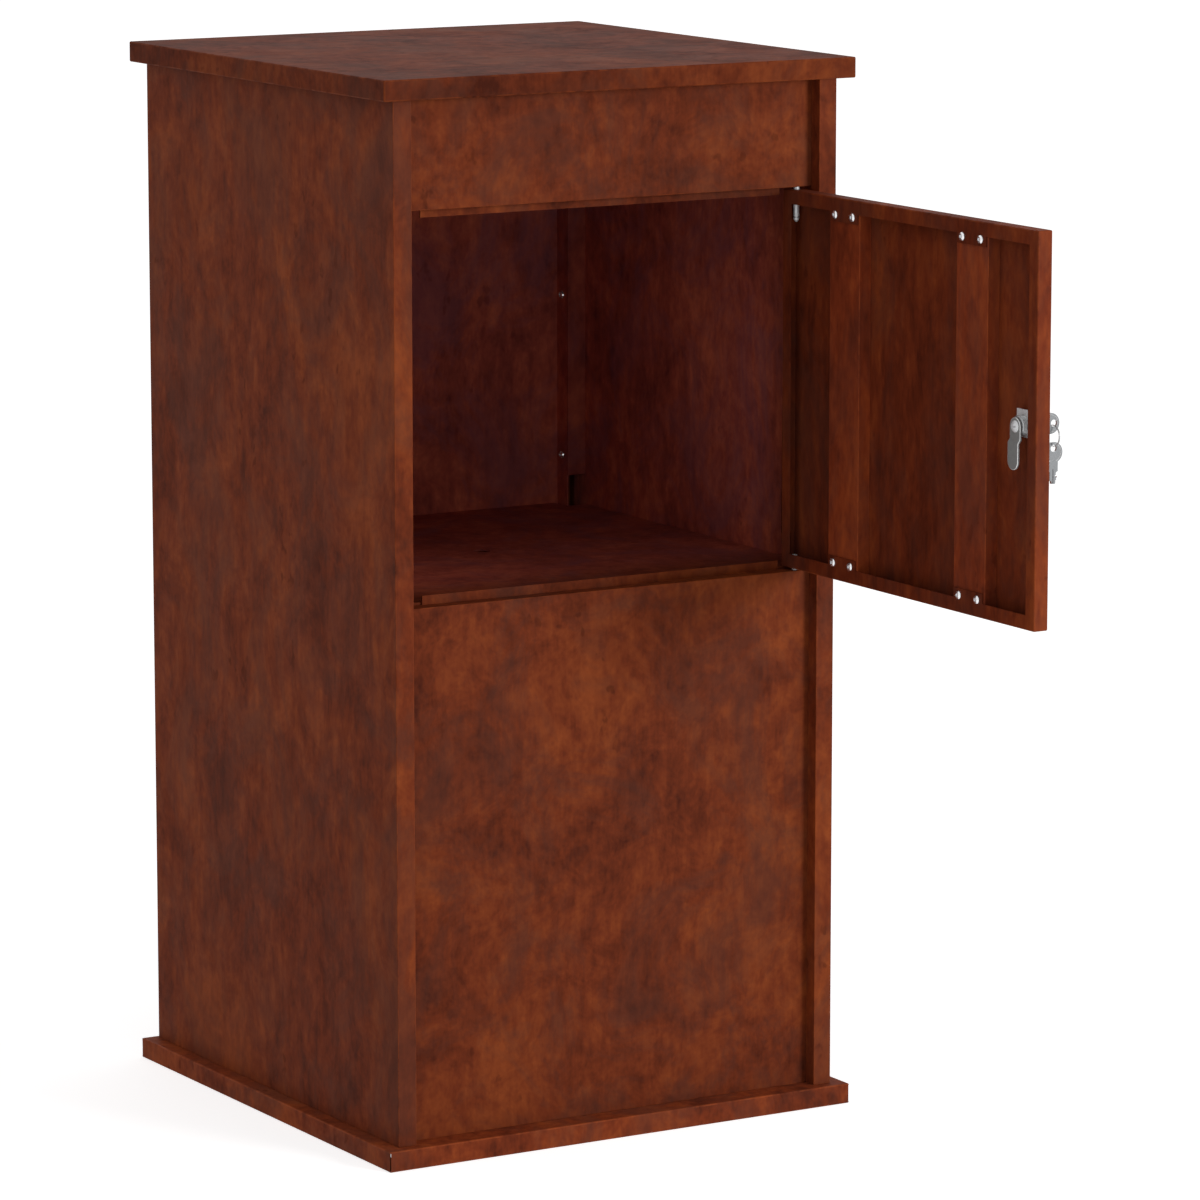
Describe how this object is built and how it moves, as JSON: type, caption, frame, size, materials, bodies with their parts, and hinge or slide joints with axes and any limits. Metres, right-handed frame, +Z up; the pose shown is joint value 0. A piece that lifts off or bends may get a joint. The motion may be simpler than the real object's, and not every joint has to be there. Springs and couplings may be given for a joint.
{
  "type": "parcel mailbox",
  "caption": "Free-standing rusted steel parcel mailbox with an overhanging roof and base, a side-hinged parcel door with a cam lock and keys, and a rear letter slot with a flap.",
  "frame": {"origin": "middle of the base pan's outline, at ground level", "axes": "+Z up, -Y out of the door side, +X towards the door's hinge"},
  "size_m": [0.36, 0.6352, 0.72],
  "materials": {
    "rust_body": "weathering-steel sheet with a mottled brown rust patina",
    "rust_roof": "weathering-steel sheet with a mottled brown rust patina, greyer on top",
    "rust_door": "weathering-steel sheet with a mottled red-brown rust patina",
    "rust_inner": "weathering-steel sheet with an even dark red-brown rust patina",
    "plated_steel": "bright zinc or nickel plating",
    "dull_steel": "dull plated steel"
  },
  "bodies": {
    "cabinet": {"roof_cap": "rust_roof", "base_pan": "rust_body", "left_side_panel": "rust_body", "right_side_panel": "rust_body", "back_panel": "rust_body", "header_panel": "rust_body", "lower_front_panel": "rust_body", "latch_jamb": "rust_inner", "floor_pan": "rust_inner", "floor_rail_left": "rust_inner", "floor_rail_right": "rust_inner", "rear_bracket_left": "rust_inner", "rear_bracket_right": "rust_inner", "rear_screws": "plated_steel", "rear_nuts": "plated_steel", "base_screws": "plated_steel", "base_nuts": "plated_steel", "slot_hood": "rust_inner", "flap_lugs": "rust_body", "flap_rod": "dull_steel"},
    "door": {"door_panel": "rust_door", "stiffener_hinge_side": "rust_door", "stiffener_lock_side": "rust_door", "door_rivets": "plated_steel", "hinge_bushes": "dull_steel", "hinge_pin_top": "plated_steel", "hinge_pin_bottom": "plated_steel", "lock_housing": "dull_steel", "lock_clip": "plated_steel"},
    "lock_core": {"lock_plug": "dull_steel", "lock_cam": "dull_steel", "cam_screw": "plated_steel"},
    "lock_key": {"key": "plated_steel"},
    "ring": {"key_ring": "plated_steel"},
    "hanging_key": {"spare_key": "plated_steel"},
    "letter_flap": {"slot_flap": "rust_body"}
  },
  "joints": [
    {"name": "door_hinge", "type": "hinge", "parent": "cabinet", "child": "door", "pos_m": [0.1475, -0.16, 0.5025], "axis": [0, 0, 1], "range_deg": [-90, 8]},
    {"name": "lock_turn", "type": "hinge", "parent": "door", "child": "lock_core", "pos_m": [0.1525, -0.4307, 0.504], "axis": [-1, 0, 0], "range_deg": [0, 90]},
    {"name": "key_pull", "type": "slide", "parent": "lock_core", "child": "lock_key", "axis": [1, 0, 0], "range_m": [0, 0.012]},
    {"name": "ring_swing", "type": "hinge", "parent": "lock_key", "child": "ring", "pos_m": [0.1701, -0.4307, 0.50236], "axis": [0, -1, 0], "range_deg": [-8, 60]},
    {"name": "spare_key_swing", "type": "hinge", "parent": "ring", "child": "hanging_key", "pos_m": [0.1701, -0.4307, 0.48936], "axis": [0, -1, 0], "range_deg": [-10, 40]},
    {"name": "flap_swing", "type": "hinge", "parent": "cabinet", "child": "letter_flap", "pos_m": [0, 0.1728, 0.674], "axis": [1, 0, 0], "range_deg": [0, 100]}
  ]
}
